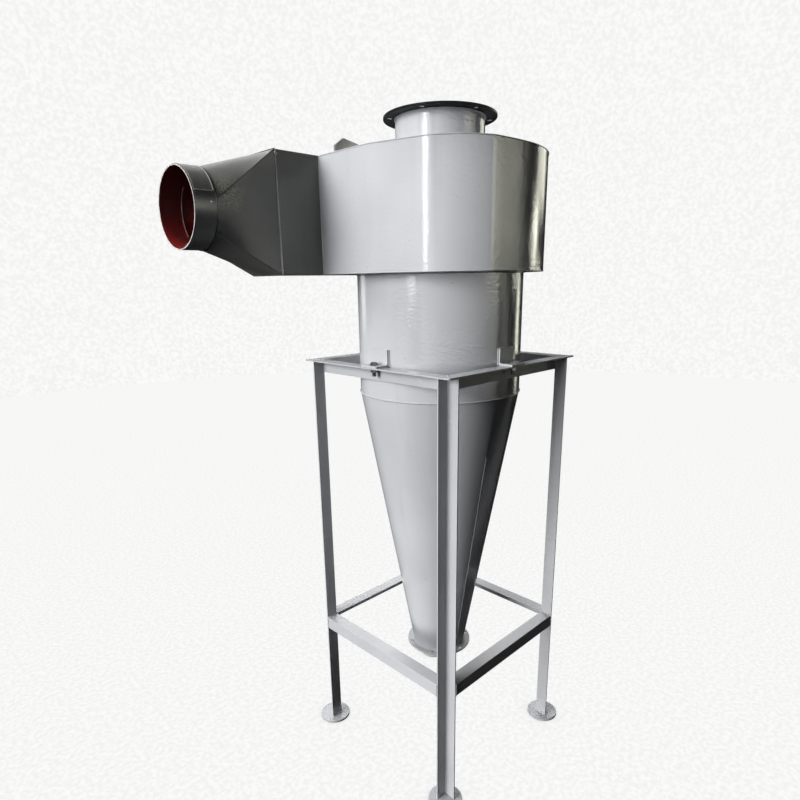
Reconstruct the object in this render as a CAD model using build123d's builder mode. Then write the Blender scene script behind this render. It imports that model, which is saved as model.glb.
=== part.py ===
from build123d import *
import os
from math import ceil, cos, radians, sin

os.makedirs("parts", exist_ok=True)

# Driving dimensions in millimetres. The origin is on the barrel's axis at floor level,
# +Z is up, the inlet opens toward -X and its duct runs along the +Y side.

# Stand, from angle iron
frame_height = 1330.0
barrel_clearance = 8.0
angle_leg = 40.0
angle_thickness = 4.0
lower_rail_top = 424.0
foot_diameter = 104.0
foot_thickness = 8.0
foot_offset = 16.0

# Body, rolled and welded from sheet
sheet = 3.0
barrel_diameter = 500.0
barrel_height = 353.0
barrel_below_rail = 98.0
cone_height = 904.0
cone_neck_diameter = 176.0

# Volute head, wider than the barrel
scroll_height = 315.0
scroll_overhang = 54.0
duct_width = 150.0
duct_offset = 22.0
duct_length = 141.0
side_bend_radius = 150.0
side_bend_turn = 16.0
front_flat = 128.0
corner_bend_radius = 130.0
corner_bend_turn = 20.0
front_roll_radius = 262.0
front_roll_turn = 29.0
last_bend_radius = 60.0
last_bend_turn = 17.0

# Round inlet
collar_diameter = 198.0
collar_length = 61.0
collar_rise = 4.0
transition_length = 187.0
crease_above = 10.0  # degrees round the collar from its middle height
crease_below = 40.0
fold_angle = 10.0

# Clean air outlet
outlet_rise = 110.0
outlet_pipe_diameter = 256.0
vortex_finder_drop = 45.0
outlet_flange_width = 34.0
outlet_flange_thickness = 6.0
outlet_bolt_hole = 12.0
outlet_bolt_count = 6
outlet_bolt_start = 22.5

# Dust outlet
dust_flange_width = 22.0
dust_flange_thickness = 6.0
dust_bolt_hole = 11.0
dust_bolt_count = 6
dust_bolt_start = 30.0

# Angle lugs that carry the barrel on the stand, and their bolts
mounting_lug_length = 64.0
mounting_lug_height = 48.0
mounting_lug_thickness = 6.0
bolt_diameter = 12.0
bolt_clearance = 1.0
bolt_head_across_flats = 18.0
bolt_head_height = 8.0
bolt_nut_height = 10.0
bolt_tail = 12.0

# Plate on edge on the roof, for a shackle
lifting_lug_length = 220.0
lifting_lug_height = 50.0
lifting_lug_thickness = 6.0
lifting_lug_corner_along = 48.0
lifting_lug_corner_down = 26.0
lifting_lug_hole = 20.0
lifting_lug_hole_height = 22.0
lifting_lug_inset = 54.0
lifting_lug_azimuth = 134.0
lifting_lug_turn = 22.0

# Worked out from the sizes above
barrel_radius = barrel_diameter / 2
heel = barrel_radius + barrel_clearance
outer = heel + angle_leg
barrel_bottom = frame_height - barrel_below_rail
barrel_top = barrel_bottom + barrel_height
scroll_radius = barrel_radius + scroll_overhang
scroll_bottom = barrel_top
scroll_top = barrel_top + scroll_height
outlet_height = scroll_top + outlet_rise
duct_far_side = scroll_radius + duct_offset
duct_near_side = duct_far_side - duct_width
duct_middle = duct_far_side - duct_width / 2
duct_inner_end = -scroll_radius
duct_outer_end = duct_inner_end - duct_length
transition_end = duct_outer_end - transition_length
scroll_middle = (scroll_bottom + scroll_top) / 2
collar_height = scroll_middle + collar_rise
cone_bottom = barrel_bottom - cone_height
dust_outlet_height = cone_bottom - dust_flange_thickness
outlet_pipe_radius = outlet_pipe_diameter / 2
outlet_flange_diameter = outlet_pipe_diameter + 2 * outlet_flange_width
outlet_bolt_circle = outlet_pipe_diameter + outlet_flange_width
dust_flange_diameter = cone_neck_diameter + 2 * dust_flange_width
dust_bolt_circle = cone_neck_diameter + dust_flange_width
lifting_lug_radius = scroll_radius - lifting_lug_inset
bolt_position = outer - angle_leg / 2
SIDES = {"left": 180, "front": 270, "right": 0, "back": 90}
CORNERS = {"front_left": 180, "front_right": 270, "back_right": 0, "back_left": 90}


def write(part, name):
    part.label = name
    export_step(part, f"parts/{name}.step")


def bent(start, normal, radius, turn):
    # Far end of an arc that starts where the wall faces along the angle "normal"
    return start + Vector(radius, 0).rotate(Axis.Z, normal + turn) - Vector(radius, 0).rotate(Axis.Z, normal)


def scroll_outline():
    # Plan of the volute. Its wall starts as a flat side beside the duct and is bent and rolled
    # by hand round to the front, where a half arc opens out to the duct's far side.
    side_normal = 180 + side_bend_turn
    corner_normal = side_normal + corner_bend_turn
    roll_normal = corner_normal + front_roll_turn
    last_normal = roll_normal + last_bend_turn
    side_start = Vector(-scroll_radius, 0)
    side_end = bent(side_start, 180, side_bend_radius, side_bend_turn)
    flat_end = side_end + Vector(0, -front_flat).rotate(Axis.Z, side_bend_turn)
    corner_end = bent(flat_end, side_normal, corner_bend_radius, corner_bend_turn)
    roll_end = bent(corner_end, corner_normal, front_roll_radius, front_roll_turn)
    last_end = bent(roll_end, roll_normal, last_bend_radius, last_bend_turn)

    # A wide arc takes up what is left of the width, and the flat side what is left of the depth
    closing_radius = last_end.X / cos(radians(last_normal))
    front = bent(last_end, last_normal, closing_radius, 270 - last_normal)
    shift = Vector(0, -scroll_radius - front.Y)
    with BuildSketch() as plan:
        with BuildLine():
            Line((-scroll_radius, duct_far_side), side_start + shift)
            RadiusArc(side_start + shift, side_end + shift, -side_bend_radius)
            Line(side_end + shift, flat_end + shift)
            RadiusArc(flat_end + shift, corner_end + shift, -corner_bend_radius)
            RadiusArc(corner_end + shift, roll_end + shift, -front_roll_radius)
            RadiusArc(roll_end + shift, last_end + shift, -last_bend_radius)
            RadiusArc(last_end + shift, front + shift, -closing_radius)
            RadiusArc(front + shift, (0, duct_far_side), -(duct_far_side + scroll_radius) / 2)
            Line((0, duct_far_side), (-scroll_radius, duct_far_side))
        make_face()
    return plan.sketch


def angle_section(along, up, thickness):
    # Rolled angle with its heel at the origin and its legs along +X and +Y
    inside = (thickness, thickness)
    with BuildSketch() as section:
        with BuildLine():
            Polyline((0, 0), (along, 0), (along, thickness), inside, (thickness, up), (0, up), close=True)
        make_face()
        fillet(section.vertices().sort_by_distance(inside)[0], thickness)
    return section.sketch


# Volute floor, an overhanging ring that closes the step from scroll to barrel
with BuildPart() as scroll_floor:
    with BuildSketch(Plane.XY.offset(scroll_bottom)):
        add(scroll_outline())
        Circle(barrel_radius - sheet, mode=Mode.SUBTRACT)
    extrude(amount=sheet)
write(scroll_floor.part, "scroll_floor")

# Volute roof, with the hole that the outlet pipe passes through
with BuildPart() as scroll_roof:
    with BuildSketch(Plane.XY.offset(scroll_top - sheet)):
        add(scroll_outline())
        Circle(outlet_pipe_radius, mode=Mode.SUBTRACT)
    extrude(amount=sheet)
write(scroll_roof.part, "scroll_roof")

# Volute wall, one rolled strip between floor and roof, open where the duct comes in
with BuildPart() as scroll_wall:
    with BuildSketch(Plane.XY.offset(scroll_bottom + sheet)):
        add(scroll_outline())
        offset(scroll_outline(), amount=-sheet, kind=Kind.INTERSECTION, mode=Mode.SUBTRACT)
        with Locations((duct_inner_end, duct_near_side + sheet)):
            Rectangle(sheet, duct_width - 2 * sheet, align=(Align.MIN, Align.MIN), mode=Mode.SUBTRACT)
    extrude(amount=scroll_height - 2 * sheet)
write(scroll_wall.part, "scroll_wall")

# Rectangular inlet duct
with BuildPart() as inlet_duct:
    with BuildSketch(Plane.YZ.offset(duct_outer_end)):
        with Locations((duct_middle, scroll_middle)):
            Rectangle(duct_width, scroll_height)
            Rectangle(duct_width - 2 * sheet, scroll_height - 2 * sheet, mode=Mode.SUBTRACT)
    extrude(amount=duct_length)
write(inlet_duct.part, "inlet_duct")


def four_sheets(inset):
    # Solid between the duct's rectangle and the collar's circle. Each side of the rectangle has
    # its own sheet, folded round to its share of the circle, and the sheets meet in creases.
    across = duct_width / 2 - inset
    up = scroll_height / 2 - inset
    radius = collar_diameter / 2 - inset
    corners = [
        Vector(duct_outer_end, duct_middle + side * across, scroll_middle + level * up)
        for side, level in ((1, -1), (1, 1), (-1, 1), (-1, -1), (1, -1))
    ]
    creases = [-crease_below, crease_above, 180 - crease_above, 180 + crease_below, 360 - crease_below]
    mouth = []
    ring = []
    for sheet_side in range(4):
        start = creases[sheet_side]
        turn = creases[sheet_side + 1] - start
        edge = corners[sheet_side + 1] - corners[sheet_side]
        folds = ceil(turn / fold_angle)
        for fold in range(folds):
            mouth.append(corners[sheet_side] + edge * (fold / folds))
            angle = radians(start + turn * fold / folds)
            level = collar_height + radius * sin(angle)
            ring.append(Vector(transition_end, duct_middle + radius * cos(angle), level))
    faces = [Face(Wire.make_polygon(mouth)), Face(Wire.make_polygon(ring))]
    for here in range(len(ring)):
        before = here - 1
        faces.append(Face(Wire.make_polygon([mouth[before], mouth[here], ring[before]])))
        faces.append(Face(Wire.make_polygon([mouth[here], ring[here], ring[before]])))
    return Solid(Shell(faces))


# Square to round transition, folded from four sheets
transition_outside = four_sheets(0)
transition_inside = four_sheets(sheet)
with BuildPart() as inlet_transition:
    add(transition_outside)
    add(transition_inside, mode=Mode.SUBTRACT)
write(inlet_transition.part, "inlet_transition")

# Round collar that the duct slides over
with BuildPart() as inlet_collar:
    with BuildSketch(Plane.YZ.offset(transition_end)):
        with Locations((duct_middle, collar_height)):
            Circle(collar_diameter / 2)
            Circle(collar_diameter / 2 - sheet, mode=Mode.SUBTRACT)
    extrude(amount=-collar_length)
write(inlet_collar.part, "inlet_collar")

# Barrel
with BuildPart() as barrel:
    with BuildSketch(Plane.XY.offset(barrel_bottom)):
        Circle(barrel_radius)
        Circle(barrel_radius - sheet, mode=Mode.SUBTRACT)
    extrude(amount=barrel_top - barrel_bottom)
write(barrel.part, "barrel")

# Cone, turned from its wall's section
with BuildPart() as cone:
    with BuildSketch(Plane.XZ):
        with BuildLine():
            Polyline(
                (barrel_radius - sheet, barrel_bottom),
                (barrel_radius, barrel_bottom),
                (cone_neck_diameter / 2, cone_bottom),
                (cone_neck_diameter / 2 - sheet, cone_bottom),
                close=True,
            )
        make_face()
    revolve(axis=Axis.Z)
write(cone.part, "cone")

# Outlet pipe, which runs through the roof and down inside as the vortex finder
with BuildPart() as outlet_pipe:
    with BuildSketch(Plane.XY.offset(scroll_bottom - vortex_finder_drop)):
        Circle(outlet_pipe_radius)
        Circle(outlet_pipe_radius - sheet, mode=Mode.SUBTRACT)
    extrude(amount=outlet_height - scroll_bottom + vortex_finder_drop)
write(outlet_pipe.part, "outlet_pipe")


def ring_flange(bottom, thickness, diameter, bore, bolt_circle, hole, count, start):
    # Flat ring with a circle of bolt holes
    with BuildPart() as ring:
        with BuildSketch(Plane.XY.offset(bottom)):
            Circle(diameter / 2)
            Circle(bore / 2, mode=Mode.SUBTRACT)
            with PolarLocations(bolt_circle / 2, count, start_angle=start):
                Circle(hole / 2, mode=Mode.SUBTRACT)
        extrude(amount=thickness)
    return ring.part


outlet_flange = ring_flange(
    outlet_height - outlet_flange_thickness,
    outlet_flange_thickness,
    outlet_flange_diameter,
    outlet_pipe_diameter,
    outlet_bolt_circle,
    outlet_bolt_hole,
    outlet_bolt_count,
    outlet_bolt_start,
)
write(outlet_flange, "outlet_flange")

dust_flange = ring_flange(
    dust_outlet_height,
    dust_flange_thickness,
    dust_flange_diameter,
    cone_neck_diameter - 2 * sheet,
    dust_bolt_circle,
    dust_bolt_hole,
    dust_bolt_count,
    dust_bolt_start,
)
write(dust_flange, "dust_flange")

# Lifting lug, a plate on edge with both upper corners cut off
lug_azimuth = radians(lifting_lug_azimuth)
lug_turn = radians(lifting_lug_turn)
lug_plane = Plane(
    origin=(lifting_lug_radius * cos(lug_azimuth), lifting_lug_radius * sin(lug_azimuth), scroll_top),
    x_dir=(cos(lug_turn), sin(lug_turn), 0),
    z_dir=(sin(lug_turn), -cos(lug_turn), 0),
)
with BuildPart() as lifting_lug:
    with BuildSketch(lug_plane):
        with BuildLine():
            end = lifting_lug_length / 2
            top = lifting_lug_height
            Polyline(
                (-end, 0),
                (-end, top - lifting_lug_corner_down),
                (-end + lifting_lug_corner_along, top),
                (end - lifting_lug_corner_along, top),
                (end, top - lifting_lug_corner_down),
                (end, 0),
                close=True,
            )
        make_face()
        with Locations((0, lifting_lug_hole_height)):
            Circle(lifting_lug_hole / 2, mode=Mode.SUBTRACT)
    extrude(amount=lifting_lug_thickness / 2, both=True)
write(lifting_lug.part, "lifting_lug")

# Legs, each with its heel toward the barrel
with BuildPart() as leg:
    with BuildSketch(Plane.XY.offset(foot_thickness)):
        with Locations((heel, heel)):
            add(angle_section(angle_leg, angle_leg, angle_thickness))
    extrude(amount=frame_height - angle_thickness - foot_thickness)

# Round foot plates
with BuildPart() as foot_plate:
    with BuildSketch():
        with Locations((heel + foot_offset, heel + foot_offset)):
            Circle(foot_diameter / 2)
    extrude(amount=foot_thickness)

for corner, turn in CORNERS.items():
    write(leg.part.rotate(Axis.Z, turn), f"leg_{corner}")
    write(foot_plate.part.rotate(Axis.Z, turn), f"foot_plate_{corner}")

# Top rails: the flange lies on the leg tops, points outward and is mitred at the corners,
# and the web stands between the legs in line with their heels
flange_underside = frame_height - angle_thickness
with BuildPart() as top_rail:
    with BuildSketch(Plane(origin=(heel, 0, frame_height), x_dir=(1, 0, 0), z_dir=(0, 1, 0))):
        add(angle_section(angle_leg, angle_leg, angle_thickness))
    extrude(amount=outer, both=True)
    with BuildSketch(Plane.XY.offset(frame_height)):
        Polygon((heel, -heel), (outer, -outer), (outer, outer), (heel, heel), align=None)
    extrude(amount=-angle_leg, mode=Mode.INTERSECT)
    for end in (Align.MIN, Align.MAX):
        shift = heel if end == Align.MIN else -heel
        with Locations((heel, shift, flange_underside)):
            Box(angle_leg, angle_leg, angle_leg, align=(Align.MIN, end, Align.MAX), mode=Mode.SUBTRACT)
    with Locations((bolt_position, 0, frame_height)):
        Hole((bolt_diameter + bolt_clearance) / 2, depth=angle_thickness)

# Lower rails: cut to fit between the legs, with the web outside and the flange inward
with BuildPart() as lower_rail:
    with BuildSketch(Plane(origin=(outer, 0, lower_rail_top), x_dir=(-1, 0, 0), z_dir=(0, -1, 0))):
        add(angle_section(angle_leg, angle_leg, angle_thickness))
    extrude(amount=heel, both=True)

# Mounting lugs: short angles that stand on the top rails and are welded to the barrel
with BuildPart() as mounting_lug:
    with BuildSketch(Plane(origin=(barrel_radius, 0, frame_height), x_dir=(1, 0, 0), z_dir=(0, -1, 0))):
        add(angle_section(outer - barrel_radius, mounting_lug_height, mounting_lug_thickness))
    extrude(amount=mounting_lug_length / 2, both=True)
    with Locations((bolt_position, 0, frame_height + mounting_lug_thickness)):
        Hole((bolt_diameter + bolt_clearance) / 2, depth=mounting_lug_thickness)

# Hexagon bolts with their nuts, down through lug and rail
with BuildPart() as mounting_bolt:
    with BuildSketch(Plane.XY.offset(frame_height + mounting_lug_thickness)):
        with Locations((bolt_position, 0)):
            RegularPolygon(bolt_head_across_flats / 2, 6, major_radius=False)
    extrude(amount=bolt_head_height)
    with BuildSketch(Plane.XY.offset(flange_underside)):
        with Locations((bolt_position, 0)):
            RegularPolygon(bolt_head_across_flats / 2, 6, major_radius=False)
    extrude(amount=-bolt_nut_height)
    with BuildSketch(Plane.XY.offset(flange_underside - bolt_nut_height - bolt_tail)):
        with Locations((bolt_position, 0)):
            Circle(bolt_diameter / 2)
    extrude(amount=bolt_tail + bolt_nut_height + angle_thickness + mounting_lug_thickness)

for side, turn in SIDES.items():
    write(top_rail.part.rotate(Axis.Z, turn), f"top_rail_{side}")
    write(lower_rail.part.rotate(Axis.Z, turn), f"lower_rail_{side}")
    write(mounting_lug.part.rotate(Axis.Z, turn), f"mounting_lug_{side}")
    write(mounting_bolt.part.rotate(Axis.Z, turn), f"mounting_bolt_{side}")
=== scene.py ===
from math import ceil, cos, hypot, pi, radians, sin

import bpy
from mathutils import Matrix, Vector, noise


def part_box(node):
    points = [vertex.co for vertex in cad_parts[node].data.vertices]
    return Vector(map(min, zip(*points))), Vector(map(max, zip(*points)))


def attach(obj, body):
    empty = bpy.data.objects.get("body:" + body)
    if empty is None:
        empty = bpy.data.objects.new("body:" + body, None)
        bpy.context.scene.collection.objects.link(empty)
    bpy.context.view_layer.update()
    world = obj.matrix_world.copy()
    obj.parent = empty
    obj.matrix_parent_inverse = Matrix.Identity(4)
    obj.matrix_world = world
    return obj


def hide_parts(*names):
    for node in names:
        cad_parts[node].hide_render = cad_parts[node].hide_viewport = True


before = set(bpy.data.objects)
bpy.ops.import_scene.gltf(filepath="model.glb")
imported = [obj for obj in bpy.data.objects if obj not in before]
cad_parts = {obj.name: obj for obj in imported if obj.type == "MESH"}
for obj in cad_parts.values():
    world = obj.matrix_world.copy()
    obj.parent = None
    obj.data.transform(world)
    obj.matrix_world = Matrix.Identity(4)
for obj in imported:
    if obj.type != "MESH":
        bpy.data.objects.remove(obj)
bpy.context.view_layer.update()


# Barrel
# A cylinder rolled from 3 mm steel sheet and butt welded down its back. Grey gloss enamel
# outside, and the red primer under it shows on the inside of every sheet.


class Tap:
    """A socket of a node tree. Python's arithmetic on it adds Math nodes."""

    def __init__(self, finish, socket):
        self.finish = finish
        self.socket = socket

    def math(self, operation, *operands):
        return self.finish.add("ShaderNodeMath", {"operation": operation}, dict(enumerate(operands)))

    def __add__(self, other):
        return self.math("ADD", self, other)

    def __sub__(self, other):
        return self.math("SUBTRACT", self, other)

    def __rsub__(self, other):
        return self.math("SUBTRACT", other, self)

    def __mul__(self, other):
        return self.math("MULTIPLY", self, other)

    __radd__ = __add__
    __rmul__ = __mul__

    def rise(self, start, end):
        """0 at start and 1 at end, smooth between; start may be the larger."""
        settings = {"interpolation_type": "SMOOTHSTEP", "clamp": True}
        inputs = {"Value": self, "From Min": start, "From Max": end, "To Min": 0.0, "To Max": 1.0}
        return self.finish.add("ShaderNodeMapRange", settings, inputs)


class Finish:
    """A node tree that is being filled."""

    def __init__(self, tree):
        self.tree = tree
        tree.nodes.clear()

    def add(self, kind, settings=None, inputs=None, output=0):
        """A node of this type with its settings, then the values or links of its sockets."""
        node = self.tree.nodes.new(kind)
        for name, value in (settings or {}).items():
            setattr(node, name, value)
        for name, value in (inputs or {}).items():
            if isinstance(value, Tap):
                self.tree.links.new(value.socket, node.inputs[name])
            else:
                node.inputs[name].default_value = value
        return Tap(self, node.outputs[output]) if node.outputs else None

    def cloud(self, scale, detail=2.0, stretch=(1, 1, 1), shift=(0, 0, 0)):
        """Noise that is fixed to the piece, with this many lumps to a metre."""
        where = self.add("ShaderNodeTexCoord", output="Object")
        placing = {"Vector": where, "Scale": stretch, "Location": shift}
        placed = self.add("ShaderNodeMapping", {}, placing)
        return self.add("ShaderNodeTexNoise", {}, {"Vector": placed, "Scale": scale, "Detail": detail})

    def axes(self):
        """The place on the object as three numbers in metres."""
        return self.parts(self.add("ShaderNodeTexCoord", output="Object"))

    def parts(self, vector):
        """The x, y and z of a vector."""
        return [self.add("ShaderNodeSeparateXYZ", {}, {"Vector": vector}, output=axis) for axis in range(3)]

    def blend(self, factor, first, second):
        """The first colour where the factor is 0 and the second where it is 1."""
        settings = {"data_type": "RGBA", "clamp_factor": True}
        return self.add("ShaderNodeMix", settings, {0: factor, 6: first, 7: second}, output=2)

    def relief(self, height):
        """A normal from a height in metres."""
        return self.add("ShaderNodeBump", {}, {"Height": height, "Distance": 1.0, "Strength": 1.0})


def surface(name, varying, **constants):
    """A material with one shader. varying(finish) returns what changes over the surface."""
    material = bpy.data.materials.new(name)
    material.use_nodes = True
    finish = Finish(material.node_tree)
    inputs = {socket.replace("_", " "): value for socket, value in constants.items()}
    inputs.update(varying(finish))
    shader = finish.add("ShaderNodeBsdfPrincipled", {}, inputs)
    finish.add("ShaderNodeOutputMaterial", {}, {"Surface": shader})
    return material


def shade(colour, factor):
    """A colour made lighter or darker, with full alpha."""
    return (*(channel * factor for channel in colour), 1.0)


peel_height = 0.0005
stroke_height = 0.00018
upright_strokes = (1, 1, 0.05)
olive_speckle_colour = (0.50, 0.50, 0.36, 1)


def enamel(name, colour, gloss=0.13, sheet_waves=0.0011, shine=0.5, olive_patch=None):
    """Brushed-on gloss enamel on wavy sheet, with orange peel, strokes, faint runs and dark specks.

    An olive patch is a place, and how far a lighter olive speckle reaches around it.
    """

    def varying(finish):
        waves = finish.cloud(5.0, 1.0, shift=(3, 1, 2))
        peel = finish.cloud(75.0, 3.0, stretch=(1, 1, 1.8))
        strokes = finish.cloud(70.0, 3.0, stretch=upright_strokes, shift=(4, 4, 0))
        runs = finish.cloud(30.0, 2.0, stretch=upright_strokes)
        patches = finish.cloud(3.5, 3.0, shift=(7, 0, 4))
        specks = finish.cloud(150.0, 0.0, shift=(1, 5, 9)).rise(0.845, 0.86)
        smears = finish.cloud(14.0, 4.0, shift=(5, 2, 0))
        base = finish.blend(patches.rise(0.3, 0.7), shade(colour, 0.94), shade(colour, 1.05))
        base = finish.blend(runs.rise(0.55, 0.8) * 0.25, base, shade(colour, 0.8))
        base = finish.blend(specks * 0.4, base, shade(colour, 0.4))
        rough = gloss + smears.rise(0.35, 0.9) * 0.1
        # A lighter olive speckle blended over the enamel around a given place
        if olive_patch:
            place, reach = olive_patch
            ends = {0: finish.add("ShaderNodeTexCoord", output="Object"), 1: place}
            distance = finish.add("ShaderNodeVectorMath", {"operation": "DISTANCE"}, ends, output=1)
            grain = finish.cloud(260.0, 2.0).rise(0.42, 0.62)
            ragged = distance + finish.cloud(40.0, 2.0) * 0.02
            base = finish.blend(grain * ragged.rise(reach + 0.01, 0.015), base, olive_speckle_colour)
        height = waves * sheet_waves + peel * peel_height + strokes * stroke_height
        return {"Base Color": base, "Roughness": rough, "Normal": finish.relief(height)}

    return surface(name, varying, IOR=1.5, Specular_IOR_Level=shine)


def primer_coat(finish):
    """Red primer, darker and browner above than low in the inlet: painted shade at the top and painted
    light on the inner bottom.
    """
    mottle = finish.cloud(22.0, 4.0)
    blots = finish.cloud(60.0, 2.0, shift=(2, 2, 2))
    base = finish.blend(mottle.rise(0.3, 0.7), (0.17, 0.02, 0.02, 1), (0.38, 0.03, 0.026, 1))
    base = finish.blend(blots.rise(0.58, 0.72) * 0.7, base, (0.12, 0.08, 0.075, 1))
    low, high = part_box("inlet_collar")
    # Painted light and shade: the primer is darkened toward the top of the inlet and left bright low down,
    # where light falls inside
    painted_light_low = (finish.axes()[2] + mottle * 0.06).rise(high.z - 0.03, low.z + 0.05)
    base = finish.blend(painted_light_low, (0.10, 0.03, 0.03, 1), base)
    brushed = finish.relief(mottle * 0.0004)
    return {"Base Color": base, "Roughness": 0.42 + mottle * 0.25, "Normal": brushed}


def rim_steel(finish):
    """Bare steel where a torch or a drill went through, with burrs."""
    burr = finish.cloud(200.0, 3.0)
    base = finish.blend(burr.rise(0.35, 0.65), (0.42, 0.36, 0.35, 1), (0.75, 0.70, 0.69, 1))
    return {"Base Color": base, "Roughness": 0.3 + burr * 0.3, "Normal": finish.relief(burr * 0.0002)}


body_grey = (0.44, 0.448, 0.468)
body_enamel = enamel("body_enamel", body_grey)
red_primer = surface("red_primer", primer_coat)
cut_rim = surface("cut_rim", rim_steel, Metallic=0.25)

sheet = 0.003


def fresh():
    """The primitive that was just added, alone, with its place in its mesh."""
    piece = bpy.context.active_object
    bpy.ops.object.transform_apply(location=True, rotation=True, scale=True)
    return piece


def pick(piece, test):
    """Goes into edit mode with the vertices that pass a test selected."""
    if bpy.context.mode != "OBJECT":
        bpy.ops.object.mode_set(mode="OBJECT")
    for group in (piece.data.polygons, piece.data.edges, piece.data.vertices):
        for element in group:
            element.select = False
    for vertex in piece.data.vertices:
        vertex.select = test(vertex.co)
    bpy.ops.object.mode_set(mode="EDIT")
    bpy.ops.mesh.select_mode(type="VERT")


def applied(piece, kind, **settings):
    """Adds a modifier with these settings and applies it."""
    if bpy.context.mode != "OBJECT":
        bpy.ops.object.mode_set(mode="OBJECT")
    modifier = piece.modifiers.new(kind.title(), kind)
    for name, value in settings.items():
        setattr(modifier, name, value)
    bpy.context.view_layer.objects.active = piece
    bpy.ops.object.modifier_apply(modifier=modifier.name)


def thicken(piece, rim=0):
    """Gives sheet its thickness inward. The inside takes material 1 and the rim the given one."""
    for slot in ("outside", "inside", "rim"):
        piece.data.materials.append(None)
    settings = {"thickness": sheet, "offset": -1.0, "use_even_offset": True}
    applied(piece, "SOLIDIFY", material_offset=1, material_offset_rim=rim, **settings)


def hand_over(piece, name, finishes, slot, *nodes, angle=35):
    """Names a finished piece, paints it, and hangs it in the frame in place of its CAD nodes."""
    if bpy.context.mode != "OBJECT":
        bpy.ops.object.mode_set(mode="OBJECT")
    bpy.ops.object.select_all(action="DESELECT")
    bpy.context.view_layer.objects.active = piece
    piece.select_set(True)
    bpy.ops.object.shade_smooth_by_angle(angle=radians(angle))
    piece.name = name
    piece.data.name = name
    marks = [polygon.material_index for polygon in piece.data.polygons]
    piece.data.materials.clear()
    for finish in finishes:
        piece.data.materials.append(finish)
    for polygon, mark in zip(piece.data.polygons, marks):
        polygon.material_index = min(mark, len(finishes) - 1)
    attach(piece, "root")
    if nodes:
        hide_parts(*nodes)
    bpy.ops.object.select_all(action="DESELECT")
    return piece


def rolled(bottom, top, radius, facets=256):
    """A rolled sheet cylinder on the barrel's axis."""
    place = (0, 0, (bottom + top) / 2)
    settings = {"vertices": facets, "end_fill_type": "NOTHING"}
    bpy.ops.mesh.primitive_cylinder_add(radius=radius, depth=top - bottom, location=place, **settings)
    return fresh()


bpy.ops.object.select_all(action="DESELECT")
barrel_low, barrel_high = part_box("barrel")
barrel_radius = barrel_high.x
shell = rolled(barrel_low.z, barrel_high.z, barrel_radius)
thicken(shell)
hand_over(shell, "barrel_shell", [body_enamel, red_primer], "body_paint", "barrel")


# Weld beads
# Every joint is arc welded by hand and painted over, so a rippled bead a few millimetres
# wide stands along it. The first ones join the barrel to the cone and to the volute floor.

weld_enamel = enamel("weld_enamel", body_grey, gloss=0.2, sheet_waves=0)
bead_step = 0.0022
ripple_steps = 3.3
ripple_share = 0.08
uneven_share = 0.22


def weld(name, corners, width, slot="body_paint", finish=weld_enamel, closed=False):
    """Lays one bead along a line through these corners, with ripples and uneven width."""
    if closed:
        corners = corners + corners[:1]
    route = [corners[0]]
    for start, end in zip(corners, corners[1:]):
        count = max(1, ceil((end - start).length / bead_step))
        route += [start.lerp(end, index / count) for index in range(1, count + 1)]
    if closed:
        route = route[:-1]
    bpy.ops.object.select_all(action="DESELECT")
    bpy.ops.curve.primitive_bezier_curve_add(location=(0, 0, 0))
    bead = bpy.context.active_object
    bead.data.splines.clear()
    line = bead.data.splines.new("POLY")
    line.points.add(len(route) - 1)
    line.use_cyclic_u = closed
    for index, (point, place) in enumerate(zip(line.points, route)):
        point.co = (*place, 1.0)
        ripple = ripple_share * sin(index * 2 * pi / ripple_steps)
        point.radius = 1.0 + ripple + uneven_share * noise.noise(place * 60)
    bead.data.bevel_depth = width / 2
    bead.data.bevel_resolution = 1
    bead.data.use_fill_caps = not closed
    bpy.ops.object.convert(target="MESH")
    bead = bpy.context.active_object
    return hand_over(bead, name, [finish], slot, angle=60)


def ring(radius, height, count=180):
    """Points of a level circle about the barrel's axis."""
    angles = [2 * pi * index / count for index in range(count)]
    return [Vector((radius * cos(angle), radius * sin(angle), height)) for angle in angles]


weld("weld_barrel_to_cone", ring(barrel_radius, barrel_low.z), width=0.0055, closed=True)
weld("weld_barrel_to_floor", ring(barrel_radius + 0.001, barrel_high.z - 0.001), width=0.005, closed=True)
back_seam = Matrix.Rotation(radians(60), 3, "Z") @ Vector((barrel_radius, 0, 0))
seam_ends = [back_seam + Vector((0, 0, height)) for height in (barrel_low.z, barrel_high.z)]
weld("weld_barrel_seam", seam_ends, width=0.006)


# Cone
# Rolled from two sheets to a long cone, with one butt weld that faces the front and one
# behind. Its narrow end sits in the dust flange.

neck_radius = 0.088
seam_azimuth = radians(262)
flat_strip = 26
cone_low, cone_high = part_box("cone")

# A flat sheet is rolled round from the seam. A strip of some degrees beside it stays nearly flat
bpy.ops.mesh.primitive_grid_add(x_subdivisions=256, y_subdivisions=16, size=2)
cone = fresh()
for vertex in cone.data.vertices:
    reach = (vertex.co.x + 1) * 180
    along = (vertex.co.y + 1) / 2
    radius = neck_radius + (barrel_radius - neck_radius) * along
    if reach < flat_strip:
        chord = cos(radians(flat_strip / 2)) / cos(radians(reach - flat_strip / 2))
        radius *= 1 + (chord - 1) * min(1, 6 * (1 - along))
    turned = seam_azimuth + radians(reach)
    height = cone_low.z + (cone_high.z - cone_low.z) * along
    vertex.co = (radius * cos(turned), radius * sin(turned), height)
pick(cone, lambda point: True)
bpy.ops.mesh.remove_doubles(threshold=0.00001)
thicken(cone)
hand_over(cone, "cone_shell", [body_enamel, red_primer], "body_paint", "cone")

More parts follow.
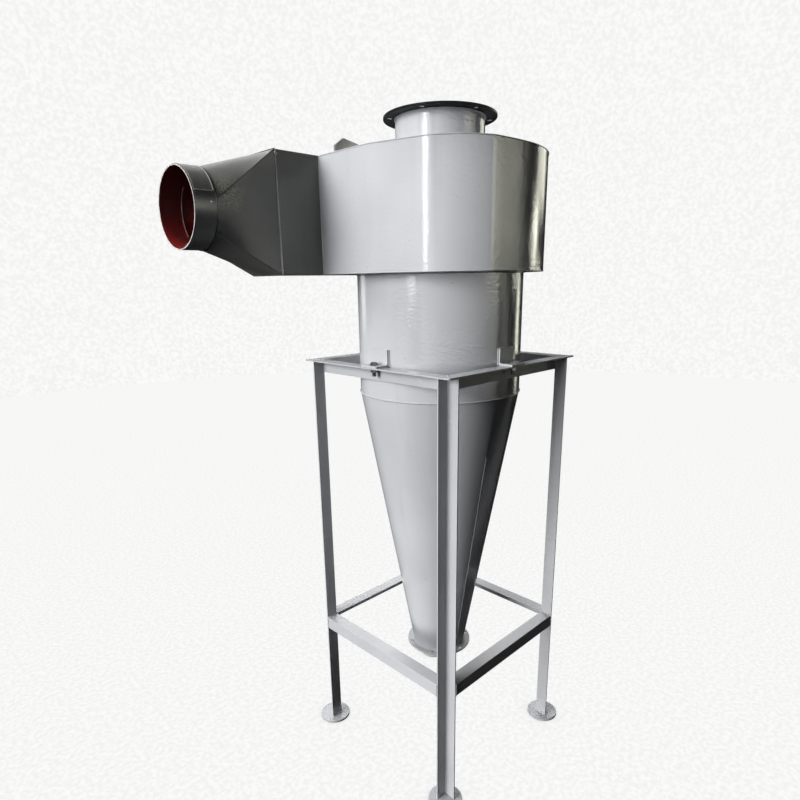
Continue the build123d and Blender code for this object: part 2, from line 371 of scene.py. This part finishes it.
for name, azimuth, reach in (("front", seam_azimuth, 0.8), ("back", seam_azimuth + pi, 1.0)):
    spoke = Vector((cos(azimuth), sin(azimuth), 0))
    foot = spoke * neck_radius + Vector((0, 0, cone_low.z))
    head = spoke * barrel_radius + Vector((0, 0, cone_high.z))
    weld(f"weld_cone_seam_{name}", [foot, foot.lerp(head, reach)], width=0.0018)


# Volute head
# Floor and roof are flat plates cut to one outline. The wall between them was bent and
# rolled by hand from one long strip, so it has a flat side, bends and wide arcs.

for node in ("scroll_floor", "scroll_roof"):
    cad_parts[node].material_slots[0].material = body_enamel

scroll_radius = -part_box("scroll_wall")[0].x
far_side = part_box("scroll_roof")[1].y
duct_width = 0.150
near_side = far_side - duct_width
wall_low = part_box("scroll_wall")[0].z
wall_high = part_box("scroll_wall")[1].z

# Radius in metres and turn in degrees of each bend
side_bend = (0.150, 16)
front_flat = 0.128
corner_bend = (0.130, 20)
front_roll = (0.262, 29)
last_bend = (0.060, 17)
bend_step = 1.5


def facing(angle):
    """The level direction of a bearing in degrees."""
    return Vector((cos(radians(angle)), sin(radians(angle)), 0))


# Centres of the bends, walked from the flat side round to the front
spot = Vector((-scroll_radius, 0, 0))
normal = 180
bends = []
for radius, turn in (side_bend, corner_bend, front_roll, last_bend):
    centre = spot - facing(normal) * radius
    normal += turn
    spot = centre + facing(normal) * radius
    bends.append((centre, turn))
    if len(bends) == 1:
        flat_run = facing(normal + 90) * front_flat
        spot = spot + flat_run
closing_radius = spot.x / cos(radians(normal))
centre = spot - facing(normal) * closing_radius
bends.append((centre, 270 - normal))
shift = Vector((0, closing_radius - scroll_radius - centre.y, 0))
bends = [(centre + shift, turn) for centre, turn in bends]
bends.append((Vector((0, (far_side - scroll_radius) / 2, 0)), 180))

# The wall's line in plan, from the duct's near side round the front and the back to its far side
outline = [Vector((-scroll_radius, near_side, 0)), Vector((-scroll_radius, shift.y, 0))]
for index, (centre, turn) in enumerate(bends):
    arm = outline[-1] - centre
    steps = ceil(turn / bend_step)
    for count in range(1, steps + 1):
        outline.append(centre + Matrix.Rotation(radians(turn) * count / steps, 3, "Z") @ arm)
    if index == 0:
        outline.append(outline[-1] + flat_run)
outline.append(Vector((-scroll_radius, far_side, 0)))

# A strip laid out flat, two metres by two, is bent along that line
columns = len(outline) - 1
bpy.ops.mesh.primitive_grid_add(x_subdivisions=columns, y_subdivisions=1, size=2)
wall = fresh()
for vertex in wall.data.vertices:
    place = outline[round((vertex.co.x + 1) / 2 * columns)]
    vertex.co = (place.x, place.y, wall_low if vertex.co.y < 0 else wall_high)
wall.data.update()
flat_face = min(wall.data.polygons, key=lambda face: face.center.x)
if flat_face.normal.x > 0:
    bpy.ops.object.mode_set(mode="EDIT")
    bpy.ops.mesh.select_all(action="SELECT")
    bpy.ops.mesh.flip_normals()
thicken(wall)
hand_over(wall, "scroll_wall_sheet", [body_enamel, red_primer], "body_paint", "scroll_wall")

for name, height in (("floor", wall_low - sheet / 2), ("roof", wall_high + sheet / 2)):
    level = Vector((0, 0, height))
    weld(f"weld_scroll_{name}", [point + level for point in outline], width=0.003)


# Inlet duct
# A straight length of rectangular duct, folded at its corners and welded into the volute's
# flat side. Its far side runs on into the volute wall.

inlet_grey = (0.19, 0.193, 0.186)
# The weld beads are real; their near-black colour is painted shade for the shadowed grooves and creases
# along these joints
inlet_weld_groove_shade = enamel("inlet_weld_groove_shade", (0.06, 0.062, 0.056), gloss=0.3, sheet_waves=0)
bare_weld = enamel("bare_weld", (0.56, 0.58, 0.56), gloss=0.35, sheet_waves=0)
collar_low, collar_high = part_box("inlet_collar")
collar_middle = (collar_low + collar_high) / 2
# Centre of the lighter olive speckled patch near the collar
olive_patch_place = (collar_high.x + 0.03, collar_low.y + 0.02, collar_middle.z + 0.03)
inlet_enamel = enamel("inlet_enamel", inlet_grey, gloss=0.3, shine=0.35, olive_patch=(olive_patch_place, 0.06))

duct_low, duct_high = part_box("inlet_duct")
duct_middle = (duct_low + duct_high) / 2
fold_radius = 0.003

bpy.ops.mesh.primitive_cube_add(size=1, location=duct_middle)
duct = bpy.context.active_object
duct.scale = duct_high - duct_low
duct = fresh()
applied(duct, "BEVEL", width=fold_radius, segments=3, limit_method="ANGLE", affect="EDGES")

# Its two ends are open: every face that looks along the duct, with the bevel's share, is deleted
pick(duct, lambda point: False)
bpy.ops.mesh.select_mode(type="FACE")
bpy.ops.object.mode_set(mode="OBJECT")
for face in duct.data.polygons:
    face.select = abs(face.normal.x) > 0.2
bpy.ops.object.mode_set(mode="EDIT")
bpy.ops.mesh.delete(type="FACE")
bpy.ops.object.mode_set(mode="OBJECT")
for vertex in duct.data.vertices:
    vertex.co.x = duct_low.x if vertex.co.x < duct_middle.x else duct_high.x
thicken(duct)
hand_over(duct, "inlet_duct_sheet", [inlet_enamel, red_primer], "body_paint", "inlet_duct")


def upright(x, y, low, high):
    """The two ends of an upright joint."""
    return [Vector((x, y, low)), Vector((x, y, high))]


weld("weld_duct_near", upright(duct_high.x, duct_low.y + 0.001, duct_low.z, duct_high.z), width=0.005)
weld("weld_duct_far", upright(duct_high.x, duct_high.y, duct_low.z, duct_high.z), width=0.004)


# Inlet transition
# Four sheets take the duct's rectangle to the collar's circle. The near and far ones are
# almost flat, the upper and lower ones are rolled at the collar, and they meet in creases.

collar_radius = (collar_high.y - collar_low.y) / 2
upper_crease = 10
lower_crease = -40
facets = 144
rings = 10


def on_collar(angle, x, lift=0.0):
    """Point round the collar; the angle starts at the near side and goes over the top."""
    turned = radians(angle)
    spoke = Vector((0, -cos(turned), sin(turned))) * (collar_radius + lift)
    return Vector((x, collar_middle.y, collar_middle.z)) + spoke


def round_end(angle):
    """Point of the collar's circle that the sheet at that angle reaches."""
    return on_collar(angle, collar_high.x)


def square_end(angle):
    """Point of the duct's rectangle that the sheet at that angle reaches."""
    low, high = duct_low, duct_high
    near_top = Vector((low.x, low.y, high.z))
    far_top = Vector((low.x, high.y, high.z))
    far_foot = Vector((low.x, high.y, low.z))
    near_foot = Vector((low.x, low.y, low.z))
    spans = (
        (lower_crease, upper_crease, near_foot, near_top),
        (upper_crease, 180 - upper_crease, near_top, far_top),
        (180 - upper_crease, 180 - lower_crease, far_top, far_foot),
        (180 - lower_crease, 360 + lower_crease, far_foot, near_foot),
    )
    angle = (angle - lower_crease) % 360 + lower_crease
    for start, end, first, last in spans:
        if start <= angle < end:
            return first.lerp(last, (angle - start) / (end - start))


angles = [index * 360 / facets for index in range(facets)]
bpy.ops.mesh.primitive_circle_add(vertices=facets, radius=collar_radius, fill_type="NOTHING")
hood = bpy.context.active_object
for vertex, angle in zip(hood.data.vertices, angles):
    vertex.co = round_end(angle)

# Ring by ring the edge is drawn out along straight lines from the circle to the rectangle
lines = [(round_end(angle), square_end(angle)) for angle in angles]
for count in range(rings):
    here = [first.lerp(last, count / rings) for first, last in lines]
    there = [first.lerp(last, (count + 1) / rings) for first, last in lines]
    pick(hood, lambda point: abs(point.x - here[0].x) < 0.0001)
    bpy.ops.mesh.extrude_edges_move()
    bpy.ops.object.mode_set(mode="OBJECT")
    for vertex in hood.data.vertices:
        if vertex.select:
            nearest = min(range(facets), key=lambda index: (here[index] - vertex.co).length)
            vertex.co = there[nearest]
bpy.ops.object.mode_set(mode="EDIT")
bpy.ops.mesh.select_all(action="SELECT")
bpy.ops.mesh.normals_make_consistent(inside=False)
thicken(hood)
inlet_sheet = [inlet_enamel, red_primer]
hand_over(hood, "inlet_transition_sheet", inlet_sheet, "body_paint", "inlet_transition", angle=25)

mouth = [
    Vector((duct_low.x, y, z))
    for y, z in (
        (duct_low.y, duct_low.z),
        (duct_low.y, duct_high.z),
        (duct_high.y, duct_high.z),
        (duct_high.y, duct_low.z),
    )
]
weld("weld_transition_to_duct", mouth[1:] + mouth[:1], width=0.004, finish=inlet_weld_groove_shade)
weld("weld_duct_joint_near", mouth[:2], width=0.0047, finish=bare_weld)
for name, place, radius in (
    ("top", mouth[1] + Vector((0.001, 0.001, -0.010)), 0.0055),
    ("foot", mouth[0] + Vector((0, 0, 0.012)), 0.0035),
):
    bpy.ops.mesh.primitive_ico_sphere_add(subdivisions=3, radius=radius, location=place)
    lump = fresh()
    for vertex in lump.data.vertices:
        vertex.co += (vertex.co - place) * 0.3 * noise.noise(vertex.co * 400)
    hand_over(lump, f"weld_lump_{name}", [bare_weld], "body_paint")
for name, angle in (("upper", upper_crease), ("lower", lower_crease)):
    for side, turned in (("near", angle), ("far", 180 - angle)):
        crease = [round_end(turned), square_end(turned)]
        weld(f"weld_crease_{name}_{side}", crease, width=0.0026, finish=inlet_weld_groove_shade)


# Inlet collar
# A short rolled pipe, cut off raw at its mouth, with a second plate lapped over its top and
# welded round. Hoses are clamped over it.

bpy.ops.mesh.primitive_cylinder_add(
    vertices=192,
    radius=collar_radius,
    depth=collar_high.x - collar_low.x,
    end_fill_type="NOTHING",
    rotation=(0, pi / 2, 0),
    location=collar_middle,
)
collar = fresh()
for vertex in collar.data.vertices:
    if vertex.co.x < collar_middle.x:
        vertex.co.x += 0.0008 * abs(noise.noise(vertex.co * 25))
thicken(collar, rim=2)
hand_over(collar, "inlet_collar_pipe", inlet_sheet + [cut_rim], "body_paint", "inlet_collar")

joint = [on_collar(angle, collar_high.x - 0.001) for angle in angles]
weld("weld_collar_to_transition", joint, width=0.0032, finish=inlet_weld_groove_shade, closed=True)
dusty_weld = enamel("dusty_weld", (0.13, 0.09, 0.088), gloss=0.5)
far_arc = [on_collar(angle, collar_high.x, -sheet - 0.0005) for angle in range(140, 222, 3)]
weld("weld_collar_inside", far_arc, width=0.006, finish=dusty_weld)

# The lapped plate starts as a flat grid, with the angle round the collar across it
patch_angles = (19, 128)
patch_ends = (collar_low.x + 0.004, collar_high.x - 0.007)
patch_sheet = 0.0016
bpy.ops.mesh.primitive_grid_add(x_subdivisions=40, y_subdivisions=6, size=2)
patch = fresh()
for vertex in patch.data.vertices:
    angle = patch_angles[0] + (vertex.co.x + 1) / 2 * (patch_angles[1] - patch_angles[0])
    along = patch_ends[0] + (vertex.co.y + 1) / 2 * (patch_ends[1] - patch_ends[0])
    vertex.co = on_collar(angle, along, patch_sheet)
patch.data.update()
corner_face = patch.data.polygons[0]
if corner_face.normal.dot(corner_face.center - collar_middle) < 0:
    pick(patch, lambda point: True)
    bpy.ops.mesh.flip_normals()
applied(patch, "SOLIDIFY", thickness=patch_sheet, offset=-1.0)
hand_over(patch, "collar_patch", [inlet_enamel], "body_paint")

# Bead along the plate's lower edge, round its corner and up beside the joint
patch_weld = enamel("patch_weld", (0.36, 0.37, 0.34), gloss=0.3, sheet_waves=0)
bead_lift = 0.0018
lower_edge, joint_side = patch_angles[0], patch_ends[1]
lap = [on_collar(lower_edge, x, bead_lift) for x in (patch_ends[0], joint_side - 0.004)]
lap += [on_collar(lower_edge + 2 + 4 * index, joint_side, bead_lift) for index in range(27)]
weld("weld_patch", lap, width=0.0026, finish=patch_weld)
spatter = on_collar(4, collar_high.x - 0.018, bead_lift)
bpy.ops.mesh.primitive_uv_sphere_add(segments=10, ring_count=6, radius=0.0024, location=spatter)
hand_over(fresh(), "collar_spatter", [bare_weld], "body_paint")


# Outlet pipe and flange
# A rolled pipe passes through the roof and down inside as the vortex finder. The ring flange
# on it is cut from plate and painted almost black, with six bolt holes for the clean air duct.

pipe_low, pipe_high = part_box("outlet_pipe")
pipe = rolled(pipe_low.z, pipe_high.z, pipe_high.x, 192)
thicken(pipe)
hand_over(pipe, "outlet_pipe_shell", [body_enamel, red_primer], "body_paint", "outlet_pipe")


def dressed(node, name, edge, finish, slot):
    """A copy of a plate or bar with its cut edges eased by this radius."""
    piece = bpy.data.objects.new(name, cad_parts[node].data.copy())
    bpy.context.collection.objects.link(piece)
    bpy.ops.object.select_all(action="DESELECT")
    bpy.context.view_layer.objects.active = piece
    piece.select_set(True)
    bpy.ops.object.mode_set(mode="EDIT")
    bpy.ops.mesh.select_all(action="SELECT")
    bpy.ops.mesh.remove_doubles(threshold=0.00001)
    bpy.ops.mesh.customdata_custom_splitnormals_clear()
    bpy.ops.mesh.dissolve_limited(angle_limit=radians(0.3))
    applied(piece, "BEVEL", width=edge, segments=2, limit_method="ANGLE", angle_limit=radians(40))
    return hand_over(piece, name, [finish], slot, node, angle=15)


flange_black = (0.008, 0.0095, 0.0095)
flange_enamel = enamel("flange_enamel", flange_black, gloss=0.35, sheet_waves=0.0003, shine=0.06)
plate = dressed("outlet_flange", "outlet_flange_plate", 0.0007, flange_enamel, "flange_paint")

# The drill left the walls of the bolt holes bare
plate.data.materials.append(cut_rim)
flange_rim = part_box("outlet_flange")[1].x
for face in plate.data.polygons:
    reach = hypot(face.center.x, face.center.y)
    if abs(face.normal.z) < 0.8 and pipe_high.x + 0.006 < reach < flange_rim - 0.004:
        face.material_index = 1

roof_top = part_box("scroll_roof")[1].z
flange_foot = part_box("outlet_flange")[0].z
weld("weld_pipe_to_roof", ring(pipe_high.x + 0.0015, roof_top + 0.001, 120), width=0.005, closed=True)
weld("weld_pipe_to_flange", ring(pipe_high.x + 0.001, flange_foot - 0.001, 120), width=0.004, closed=True)


# Dust flange
# A smaller ring of plate welded to the cone's end, for a dust bin or a rotary valve.

dressed("dust_flange", "dust_flange_plate", 0.0007, body_enamel, "body_paint")
weld("weld_cone_to_flange", ring(neck_radius + 0.001, cone_low.z + 0.001, 90), width=0.004, closed=True)


# Lifting lug
# A plate on edge on the roof with both upper corners cut off and a hole for a shackle.

lug_enamel = enamel("lug_enamel", (0.14, 0.135, 0.13), gloss=0.3, sheet_waves=0.0003)
dressed("lifting_lug", "lifting_lug_plate", 0.0006, lug_enamel, "body_paint")


# Stand
# Equal angle iron, cut and mitred, welded into a four-legged frame on round foot plates. The
# top rails' flanges lie on the leg ends, and the lower rails fit between the legs.

stand_enamel = enamel("stand_enamel", (0.40, 0.405, 0.42), gloss=0.2, sheet_waves=0.0002)
corners = ("front_left", "front_right", "back_right", "back_left")
sides = ("left", "front", "right", "back")
for corner in corners:
    dressed(f"leg_{corner}", f"leg_{corner}_angle", 0.0008, stand_enamel, "stand_paint")
    dressed(f"foot_plate_{corner}", f"foot_plate_{corner}_disc", 0.001, stand_enamel, "stand_paint")
for side in sides:
    dressed(f"top_rail_{side}", f"top_rail_{side}_angle", 0.0008, stand_enamel, "stand_paint")
    dressed(f"lower_rail_{side}", f"lower_rail_{side}_angle", 0.0008, stand_enamel, "stand_paint")

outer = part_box("top_rail_left")[1].y
rail_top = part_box("top_rail_left")[1].z
angle_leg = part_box("top_rail_left")[1].x + outer
heel = outer - angle_leg
inner = heel - 0.001
fillet = 0.005
for corner in corners:
    x_side = 1 if "right" in corner else -1
    y_side = 1 if "back" in corner else -1
    mitre = [Vector((x_side * reach, y_side * reach, rail_top - 0.0006)) for reach in (heel, outer)]
    weld(f"weld_mitre_{corner}", mitre, width=fillet, slot="stand_paint")
    foot_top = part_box(f"foot_plate_{corner}")[1].z
    toe = [(outer, inner), (inner, inner), (inner, outer)]
    toe = [Vector((x_side * x, y_side * y, foot_top + 0.001)) for x, y in toe]
    weld(f"weld_foot_{corner}", toe, width=fillet, slot="stand_paint")
    lower_low, lower_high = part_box("lower_rail_front")
    for name, swap in (("front_or_back", False), ("left_or_right", True)):
        joint = [(inner, outer, lower_low.z), (inner, outer, lower_high.z), (inner, heel, lower_high.z)]
        joint = [(y, x, z) if swap else (x, y, z) for x, y, z in joint]
        joint = [Vector((x_side * x, y_side * y, z)) for x, y, z in joint]
        weld(f"weld_lower_{corner}_{name}", joint, width=0.004, slot="stand_paint")


# Mounting lugs
# Short lengths of heavier angle, welded upright to the barrel and bolted down to the rails.

for side, bearing in zip(sides, (180, 270, 0, 90)):
    dressed(f"mounting_lug_{side}", f"mounting_lug_{side}_angle", 0.0012, body_enamel, "stand_paint")
    low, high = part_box(f"mounting_lug_{side}")
    across = (high - low).x if side in ("front", "back") else (high - low).y
    for name, end in (("first", -1), ("second", 1)):
        reach = Vector((barrel_radius - 0.001, end * (across / 2 + 0.0005), 0))
        foot = Matrix.Rotation(radians(bearing), 3, "Z") @ reach
        seam = [foot + Vector((0, 0, height)) for height in (low.z + 0.002, high.z)]
        weld(f"weld_lug_{side}_{name}", seam, width=fillet, slot="stand_paint")


# Mounting bolts
# Hexagon bolts through lug and rail, with a washer under the head and a nut on the tail.

zinc = surface(
    "zinc",
    lambda finish: {"Roughness": 0.3 + finish.cloud(300.0) * 0.3},
    Base_Color=(0.13, 0.129, 0.124, 1),
    Metallic=0.8,
)
bolt_radius = 0.006
half_flats = 0.009
head_height = 0.008
nut_height = 0.010
tail = 0.012
thread_pitch = 0.00175
thread_depth = 0.0009
washer_radius = 0.012
washer_height = 0.0018


def hexagon(low, high):
    """A hexagon block with the corners of its upper face turned off."""
    depth = high - low
    place = (0, 0, low + depth / 2)
    radius = half_flats / cos(pi / 6)
    bpy.ops.mesh.primitive_cylinder_add(vertices=6, radius=radius, depth=depth, location=place)
    block = fresh()
    bpy.ops.mesh.primitive_cone_add(
        vertices=48,
        radius1=half_flats * 1.35,
        radius2=half_flats * 0.94,
        depth=depth * 1.02,
        location=place,
    )
    turning = fresh()
    block.select_set(True)
    applied(block, "BOOLEAN", operation="INTERSECT", object=turning)
    bpy.data.objects.remove(turning)
    return block


for side in sides:
    low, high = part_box(f"mounting_bolt_{side}")
    lug_top = high.z - head_height
    nut_foot = low.z + tail
    parts = [hexagon(lug_top + washer_height, high.z), hexagon(nut_foot, nut_foot + nut_height)]
    bpy.ops.mesh.primitive_cylinder_add(
        vertices=48,
        radius=washer_radius,
        depth=washer_height,
        location=(0, 0, lug_top + washer_height / 2),
    )
    parts.append(fresh())
    length = lug_top + washer_height - low.z
    bpy.ops.mesh.primitive_grid_add(x_subdivisions=32, y_subdivisions=64, size=2)
    shank = fresh()
    for vertex in shank.data.vertices:
        turned = (vertex.co.x + 1) * pi
        height = low.z + (vertex.co.y + 1) / 2 * length
        groove = abs((height / thread_pitch - turned / (2 * pi)) % 1.0 - 0.5) * 2
        taper = min(1.0, 0.75 + (height - low.z) / 0.004)
        radius = (bolt_radius - thread_depth * groove) * taper
        vertex.co = (radius * cos(turned), radius * sin(turned), height)
    pick(shank, lambda point: True)
    bpy.ops.mesh.remove_doubles(threshold=0.00001)
    bpy.ops.mesh.select_all(action="DESELECT")
    bpy.ops.mesh.select_non_manifold()
    bpy.ops.mesh.edge_face_add()
    bpy.ops.object.mode_set(mode="OBJECT")
    bpy.ops.object.select_all(action="DESELECT")
    for part in parts:
        part.select_set(True)
    shank.select_set(True)
    bpy.context.view_layer.objects.active = shank
    bpy.ops.object.join()
    shank.location = ((low.x + high.x) / 2, (low.y + high.y) / 2, 0)
    shank = fresh()
    bpy.ops.object.mode_set(mode="EDIT")
    bpy.ops.mesh.select_all(action="SELECT")
    bpy.ops.mesh.normals_make_consistent(inside=False)
    hand_over(shank, f"mounting_bolt_{side}_set", [zinc], "bolts", f"mounting_bolt_{side}", angle=30)


# Floor and backdrop
# A plain pale floor that runs out into a plain pale backdrop, both with a paper's faint grain.
# Neither lights the object, but a painted contact shadow darkens the floor a little where a foot stands on
# it.


def paper_finish(name, grain_scale, floor):
    material = bpy.data.materials.new(name)
    material.use_nodes = True
    finish = Finish(material.node_tree)
    grain = finish.cloud(grain_scale)
    colour = finish.blend(grain.rise(0.35, 0.65), (0.89, 0.89, 0.885, 1), (0.965, 0.965, 0.96, 1))
    if floor:
        # Painted contact shadow: ambient occlusion darkens the emitting floor round the feet
        painted_foot_shadow = finish.add("ShaderNodeAmbientOcclusion", {"samples": 8}, {"Distance": 0.12}, output=1)
        colour = finish.blend(painted_foot_shadow.rise(0.2, 1.0), (0.55, 0.55, 0.55, 1), colour)
    glow = finish.add("ShaderNodeEmission", {}, {"Color": colour, "Strength": 1.0})
    finish.add("ShaderNodeOutputMaterial", {}, {"Surface": glow})
    return material


def unlit(piece, name, finish):
    """Names and paints a stage piece that only the camera sees."""
    piece.name = name
    piece.data.materials.append(finish)
    piece.visible_diffuse = False
    piece.visible_glossy = False
    piece.visible_transmission = False
    piece.visible_shadow = False


bpy.ops.object.select_all(action="DESELECT")
bpy.ops.mesh.primitive_circle_add(vertices=64, radius=9, fill_type="NGON", location=(0, 0, -0.0003))
unlit(fresh(), "floor", paper_finish("floor_paper", 60.0, floor=True))
bpy.ops.mesh.primitive_uv_sphere_add(segments=48, ring_count=24, radius=12)
unlit(fresh(), "backdrop", paper_finish("backdrop_paper", 14.0, floor=False))


# Light
# Daylight comes in low through a wide door on the inlet's side. Five soft lamps carry it, and
# the surroundings hold only what the gloss paint mirrors: panes, posts and lit walls.

# Name, bearing, height and spread in degrees, strength
for name, bearing, rise, spread, strength in (
    ("door", 171, 14, 34, 4.3),
    ("sky_in_door", 143, 34, 50, 1.2),
    ("roof_lights", 140, 70, 36, 1.3),
    ("windows_behind", 50, 20, 36, 4.4),
    ("windows_right", 340, 12, 24, 0.15),
):
    bpy.ops.object.light_add(type="SUN", rotation=(0, radians(90 - rise), radians(bearing)))
    lamp = bpy.context.active_object
    lamp.name = name
    lamp.data.energy = strength
    lamp.data.angle = radians(spread)
    lamp.visible_glossy = False

world = bpy.data.worlds.new("surroundings")
bpy.context.scene.world = world
world.use_nodes = True
world.cycles.sampling_method = "NONE"
sky = Finish(world.node_tree)
toward = sky.add("ShaderNodeTexCoord", output="Generated")
east, north, up = sky.parts(toward)
azimuth = sky.add("ShaderNodeMath", {"operation": "ARCTAN2"}, {0: north, 1: east}) * (180 / pi)
height = sky.add("ShaderNodeMath", {"operation": "ARCSINE"}, {0: up}) * (180 / pi)


def pane(first, last, low, high, blur=1.0, fade=1.5):
    """A bright part of the surroundings between two bearings and two heights, in degrees."""
    middle, half_width = (first + last) / 2, (last - first) / 2
    whole_turn = {0: azimuth - middle, 1: 180.0, 2: -180.0}
    turned = sky.add("ShaderNodeMath", {"operation": "WRAP"}, whole_turn)
    aside = sky.add("ShaderNodeMath", {"operation": "ABSOLUTE"}, {0: turned})
    across = aside.rise(half_width + blur, half_width - blur)
    return across * height.rise(low - fade, low + fade) * height.rise(high + fade, high - fade)


yard = pane(145, 167, -2, 14) * 1.2 + pane(167, 175, -8, 0) * 1.2
yard_floor = pane(145, 167, -35, -8) * 0.6
door_gap = pane(180, 188, 1, 22, 2, 1) * 15.0 + pane(176, 197, 0, 20, 3, 1) * 3.5
door_sill = pane(196, 201, -1.5, 1, 1, 0.7) * 3.0
front_wall = pane(196, 210, -8, 7) * 3.0 + pane(210, 285, -8, 14) * 3.0
bright_wall = pane(285, 308, 0, 14) * 6.0 + pane(285, 308, -10, 0) * 2.0
dim_wall = pane(308, 322, 0, 14) * 2.8 + pane(315, 330, -10, 0) * 0.8
right_panes = pane(345, 368, 6, 20) * 3.5 + pane(338, 350, 1, 6, 1, 0.7) * 10.0
low_right_pane = pane(352, 362, -10, 1, 1, 1) * 4.5
back_panes = pane(84, 98, -4, 3, 2) * 2.5 + pane(8, 90, 14, 55) * 1.1
mirrored = yard + yard_floor + door_gap + door_sill + front_wall + bright_wall
mirrored = mirrored + dim_wall + right_panes + low_right_pane + back_panes

# The walls on the right are cream. They show only where the paint mirrors them
cream_side = pane(295, 375, -30, 60, 5)
tint = sky.blend(cream_side, (1.0, 1.0, 1.0, 1), (1.0, 1.0, 0.84, 1))
gloss_ray = sky.add("ShaderNodeLightPath", output=3)
faint_fill = 0.005
strength = mirrored * gloss_ray + faint_fill
background = sky.add("ShaderNodeBackground", {}, {"Color": tint, "Strength": strength})
sky.add("ShaderNodeOutputWorld", {}, {"Surface": background})


# Camera
# A phone held at head height, about one and a half metres from the stand's front leg.

camera_place = (-1.3933, -1.2422, 1.5634)
heading, pitch, roll = 45.676, -15.716, -0.934
bpy.ops.object.camera_add(location=camera_place)
camera = bpy.context.active_object
turn = Matrix.Rotation(radians(heading - 90), 4, "Z") @ Matrix.Rotation(radians(90 + pitch), 4, "X")
camera.matrix_world = Matrix.Translation(camera_place) @ turn @ Matrix.Rotation(radians(roll), 4, "Z")
camera.data.sensor_width = 36
camera.data.lens = 26.477
camera.data.shift_y = 0.0586
bpy.context.scene.camera = camera
bpy.context.scene.view_settings.view_transform = "Standard"
